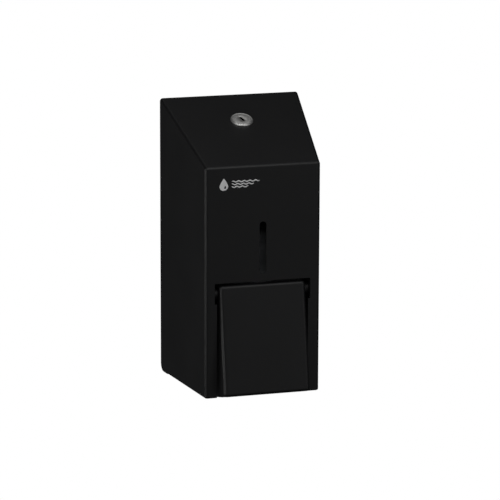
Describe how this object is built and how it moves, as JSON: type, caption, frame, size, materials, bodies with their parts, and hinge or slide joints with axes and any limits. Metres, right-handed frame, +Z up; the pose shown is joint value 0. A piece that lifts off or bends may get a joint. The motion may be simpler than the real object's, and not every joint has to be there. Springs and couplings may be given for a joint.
{
  "type": "wall mounted soap dispenser",
  "caption": "Wall mounted liquid soap dispenser with a folded steel cover that tips open, a push lever, a cam lock, a tank and a piston pump.",
  "frame": {"origin": "centre of the four wall screw holes, on the back plate's back face", "axes": "+Z up, -Y out of the wall towards the user, +X along the wall to the right as the user sees it"},
  "size_m": [0.126, 0.1185, 0.2451],
  "materials": {
    "powder_coat": "black powder coat, satin with a fine orange peel",
    "plated_steel": "zinc plated sheet steel",
    "lock_steel": "satin nickel plated, turned face",
    "barrel_steel": "satin nickel plated die casting",
    "screw_steel": "bright zinc plated fasteners",
    "smoked_plastic": "smoked polyethylene, satin",
    "white_plastic": "moulded white acetal",
    "black_plastic": "moulded black nylon",
    "black_rubber": "moulded rubber",
    "spring_steel": "drawn stainless wire",
    "mark_print": "pale grey print on a thin label"
  },
  "bodies": {
    "wall_unit": {"back_plate": "plated_steel", "hinge_bushes": "white_plastic", "wall_buffers": "black_rubber", "catch_bracket": "plated_steel", "catch_rivets": "screw_steel", "tank_shelf": "plated_steel", "shelf_screws": "screw_steel", "tank": "smoked_plastic", "tank_washer": "black_rubber", "neck_nut": "black_plastic", "inlet_seal": "black_rubber", "pump_body": "white_plastic", "pump_end_cap": "black_plastic", "duckbill_valve": "black_rubber", "spout": "white_plastic", "spout_nut": "black_plastic"},
    "cover_unit": {"cover": "powder_coat", "hinge_studs": "plated_steel", "lock_body": "lock_steel", "lock_nut": "plated_steel", "lever_pin": "plated_steel", "pin_clips": "spring_steel", "mark_plate": "mark_print"},
    "lock_core": {"lock_barrel": "barrel_steel", "lock_cam": "plated_steel", "cam_screw": "screw_steel"},
    "lever_unit": {"lever": "powder_coat", "lever_bushes": "black_plastic", "pusher": "white_plastic", "pusher_screws": "screw_steel"},
    "plunger_unit": {"plunger": "white_plastic", "piston_ring": "black_rubber", "return_spring": "spring_steel"},
    "cap_unit": {"filler_cap": "black_plastic", "cap_liner": "white_plastic"},
    "ball_unit": {"inlet_ball": "screw_steel"}
  },
  "joints": [
    {"name": "cover_hinge", "type": "hinge", "parent": "wall_unit", "child": "cover_unit", "pos_m": [0, -0.0065, -0.116], "axis": [1, 0, 0], "range_deg": [0, 80]},
    {"name": "lock_turn", "type": "hinge", "parent": "cover_unit", "child": "lock_core", "pos_m": [0, -0.0384, 0.10647], "axis": [0, -0.3853, 0.9228], "range_deg": [-90, 0]},
    {"name": "lever_press", "type": "hinge", "parent": "cover_unit", "child": "lever_unit", "pos_m": [0, -0.0935, -0.0325], "axis": [1, 0, 0], "range_deg": [0, 10], "stiffness_Nm_per_rad": 0.6, "springref_deg": -22.92},
    {"name": "plunger_slide", "type": "slide", "parent": "wall_unit", "child": "plunger_unit", "axis": [0, 1, 0], "range_m": [0, 0.0088], "deforming": ["return_spring"]},
    {"name": "cap_turn", "type": "hinge", "parent": "wall_unit", "child": "cap_unit", "pos_m": [0, -0.056, 0.06], "axis": [0, 0, 1], "continuous": true},
    {"name": "inlet_ball_lift", "type": "slide", "parent": "wall_unit", "child": "ball_unit", "axis": [0, 0, 1], "range_m": [0, 0.0015]}
  ],
  "couplings": [
    {"joint": "plunger_slide", "follows": "lever_press", "m_per_rad": 0.05}
  ]
}
